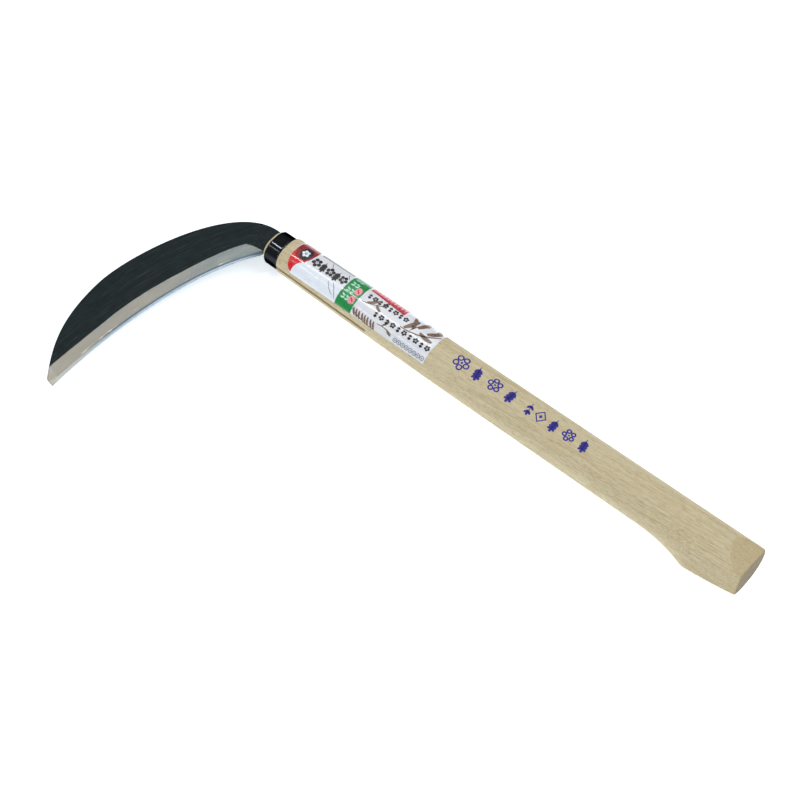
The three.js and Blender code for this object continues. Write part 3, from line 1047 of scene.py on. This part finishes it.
def label_shapes():
    """Outlines on the label as (outline, layer, ink), with inks numbered as in make_label_print."""
    red, green, black, brown, mint, pink, grey, crimson, sky, dark_red, slate = range(11)
    shapes = []

    def add(ink, layer, *outlines):
        shapes.extend((outline, layer, ink) for outline in outlines)

    add(sky, 1, [(34, 35.5), (70, 35.5), (70, 48), (31, 47.8), (31.5, 40)])
    add(red, 2, oval((27.2, 28.5), (6.9, 18.2), 40))
    add(dark_red, 3, [(x, min(around, 34.2)) for x, around in oval((28.5, 24), (8, 12.4), 40)])
    add(sky, 3, [(32.2, 35.6), (29.6, 38), (27.9, 41), (27.2, 44), (27.1, 47.2), (34.5, 47.6), (34.5, 35.6)])
    add(black, 4, oval((29.6, 28), (4.9, 6.1)))
    add(sky, 5, *blossom((29, 28), 6.6, 30))
    add(slate, 2, [(38.5, 16.2), (69, 16.2), (69, 20.6), (38.5, 20.6)])

    add(black, 3, *blossom((40.8, 29.4), 8.4, 20), *blossom((54, 30), 8, 50), *blossom((66, 29.6), 7.6, 5))
    add(black, 3, *ear((47.3, 29.6), 9.6, 84, 1.7), *ear((60, 30), 9.8, 97, 1.7))
    for start, end, bend in (
        ((50, 21), (54, 27), 0.4), ((58, 37), (66, 44), 0.8), ((61, 35), (69, 46), -0.6),
        ((66, 22), (69.5, 27), 0.3),
    ):
        add(brown, 2, stroke(start, end, 0.5, bend))

    add(green, 2, [(70.4, 11), (85.4, 11), (85.4, 48.7), (70.4, 48.4)])
    for column in (72.6, 76.2):
        for row in range(7):
            around = 22.5 + 3.1 * row
            drift = 0.9 if row % 2 else -0.9
            add(mint, 3, stroke((column, around), (column + 3, around + drift), 1.5, 0.3))
    add(pink, 4, oval((81.4, 31), (2.7, 3.5)), oval((81.4, 39.2), (2.7, 3.4)))
    add(red, 5, stroke((79.9, 29.6), (83, 32.2), 1.1, 0.3), stroke((79.8, 38), (83, 40.6), 1.0, -0.3))

    add(crimson, 2, [(87, 11.5), (119.6, 11.5), (119.6, 26.3), (104, 24.8), (87, 23.2)])
    for i in range(9):
        x = 91 + 3.3 * i
        add(pink, 3, stroke((x, 15), (x + 0.6, 21.5 + 0.09 * (x - 90)), 0.8, 0.2))
    for first, step, count, around in ((90.5, 4.7, 8, 28.4), (103.4, 5.2, 10, 38)):
        for i in range(count):
            centre = (first + step * i, around)
            add(black, 4, *(blossom(centre, 4.6, 17 * i) if i % 2 else ear(centre, 4.8, 85, 1.3, 2)))

    twigs = (
        ((123.5, 35.5), (153, 24.5), 1.2, 3.2), ((131, 34), (143, 18), 1.0, -1.5),
        ((88, 35.5), (106, 28.5), 0.8, 0.9),
        ((85.5, 44), (107, 48.6), 0.9, 1.2), ((108, 43.4), (122, 44.4), 0.7, -0.9),
    )
    for start, end, width, bend in twigs:
        add(brown, 3, stroke(start, end, width, bend))
    leaves = (
        ((126, 34.5), 13, 3.8, -62), ((132, 32), 12, 3.4, -112), ((134.5, 29), 12.5, 3.8, -70),
        ((138, 31), 12, 3.2, 8),
        ((143, 29), 12, 3.8, -48), ((148, 26.5), 12, 3.4, -92), ((139.5, 23.5), 9, 2.8, -110),
        ((92, 34), 9, 2.4, -40),
        ((99, 31.5), 7, 2.2, 32), ((103, 30), 7.5, 2.2, -70), ((112, 42.8), 6.5, 1.7, -58),
        ((117, 43), 5.5, 1.6, 28),
    )
    for root, length, width, turn in leaves:
        add(brown, 3, leaf(root, length, width, turn, 0.06 * length))
    for i in range(8):
        add(brown, 3, leaf((86.4 + 2.7 * i, 42.2 + 0.15 * i), 6.2, 1.7, 62 + 4 * (i % 3), 0.4))
    for i in range(8):
        centre = (126.4 + 3.5 * i, 46)
        add(grey, 3, *ring(centre, (1.75, 1.8), 0.55), oval(centre, (0.6, 0.6), 10))
    return shapes


def make_label_print():
    inks = [
        ink_material("print_red", (206, 10, 22), (226, 22, 32)),
        ink_material("print_green", (0, 128, 58), (0, 146, 70)),
        ink_material("print_black", (8, 9, 12), (24, 26, 32)),
        ink_material("print_brown", (108, 84, 70), (142, 116, 98), patch=0.9),
        ink_material("print_mint", (150, 214, 186), (206, 238, 224), patch=0.9),
        ink_material("print_pink", (226, 120, 130), (242, 186, 194), patch=0.9),
        ink_material("print_grey", (112, 122, 138), (150, 160, 176), patch=0.9),
        ink_material("print_crimson", (180, 26, 46), (204, 56, 72), patch=0.6),
        ink_material("print_pale_blue", (228, 237, 248), (236, 242, 250)),
        ink_material("print_dark_red", (132, 18, 24), (164, 26, 32)),
        ink_material("print_slate", (66, 72, 82), (92, 98, 108)),
    ]
    mesh = wrapped_mesh("label_print", label_shapes(), LABEL_TOP + 0.008, LABEL_TOP - 0.06)
    return new_piece("label_print", mesh, inks, sharp_angle=50)


def stamp_shapes():
    """Nine plain ornaments in a row along the grip: ears of grain, blossoms and lozenges."""
    line = 1.15
    outlines = [
        *blossom((176.5, 32), 13.5, 10, line),
        *ear((190.5, 32), 12.5, 80, 2.3, 3),
        *blossom((205.5, 32), 12, 40, line),
        *ear((219.5, 32), 12.5, 98, 2.3, 3),
        *ear((235.5, 32.5), 10.5, 86, 1.9, 2),
        *lozenge((245, 32.5), (4.6, 5.4), line),
        *ear((256, 32.5), 11.5, 92, 2.1, 3),
        *blossom((268.5, 32.5), 10.5, 25, line),
        *ear((281, 32.5), 11.5, 82, 2.1, 3),
    ]
    return [(outline, 0, 0) for outline in outlines]


def make_stamp():
    ink = ink_material("stamp_ink", (34, 24, 132), (62, 54, 160), gloss=0.5, patch=0.8, coat=0.0)
    mesh = wrapped_mesh("grip_stamp", stamp_shapes(), 0.02, -0.15)
    return new_piece("grip_stamp", mesh, [ink], sharp_angle=50)


# ---------- studio ----------


def area_light(name, place, target, size, power, colour=(1, 1, 1)):
    lamp = bpy.data.lights.new(name, "AREA")
    lamp.shape = "RECTANGLE"
    lamp.size, lamp.size_y = size
    lamp.energy = power
    lamp.color = colour
    holder = bpy.data.objects.new(name, lamp)
    holder.location = place
    holder.rotation_euler = (Vector(target) - Vector(place)).to_track_quat("-Z", "Y").to_euler()
    bpy.context.scene.collection.objects.link(holder)
    return holder


def make_floor():
    half = 4
    mesh = bpy.data.meshes.new("studio_floor")
    corners = [(-half, -half, 0), (half, -half, 0), (half, half, 0), (-half, half, 0)]
    mesh.from_pydata(corners, [], [(0, 1, 2, 3)])
    mesh.materials.append(floor_material())
    floor = bpy.data.objects.new("studio_floor", mesh)
    bpy.context.scene.collection.objects.link(floor)


def make_studio():
    world = bpy.data.worlds.new("studio")
    world.use_nodes = True
    background = world.node_tree.nodes["Background"]
    background.inputs["Color"].default_value = (0.95, 0.98, 1, 1)
    background.inputs["Strength"].default_value = 0.3
    bpy.context.scene.world = world
    bpy.context.scene.view_settings.view_transform = "Standard"

    middle = (0, 0, 0)
    area_light("key", (0.9, 0.9, 1.3), middle, (1.4, 1.4), 15)
    area_light("fill", (0.5, -1.6, 1.3), middle, (1.6, 1.2), 11)
    area_light("side", (-1.7, -0.6, 0.9), middle, (1.2, 1.2), 6)
    area_light("strip", (-0.62, 0.36, 1.15), (-0.1, 0.08, 0), (0.7, 0.05), 3.4)
    area_light("low_strip", (-0.6, -0.5, 1), (-0.1, 0.08, 0), (0.7, 0.03), 0.8)


def make_camera():
    camera = bpy.data.cameras.new("camera")
    camera.lens = 63
    camera.sensor_width = 36
    camera.clip_start = 0.05
    holder = bpy.data.objects.new("camera", camera)
    holder.location = to_frame((487, -442, 840.6))
    target = to_frame((151.8, -37.5, 0))
    holder.rotation_euler = (target - holder.location).to_track_quat("-Z", "Y").to_euler()
    bpy.context.scene.collection.objects.link(holder)
    bpy.context.scene.camera = holder


# ---------- assembly ----------

make_handle(wood_material())
make_ferrule(ferrule_material())
make_blade_body(blade_material())
make_edge_steel(edge_material())
make_label(paper_material())
make_label_print()
make_stamp()

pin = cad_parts["tang_pin"]
pin.data.materials.clear()
pin.data.materials.append(pin_material())

make_floor()
make_studio()
make_camera()
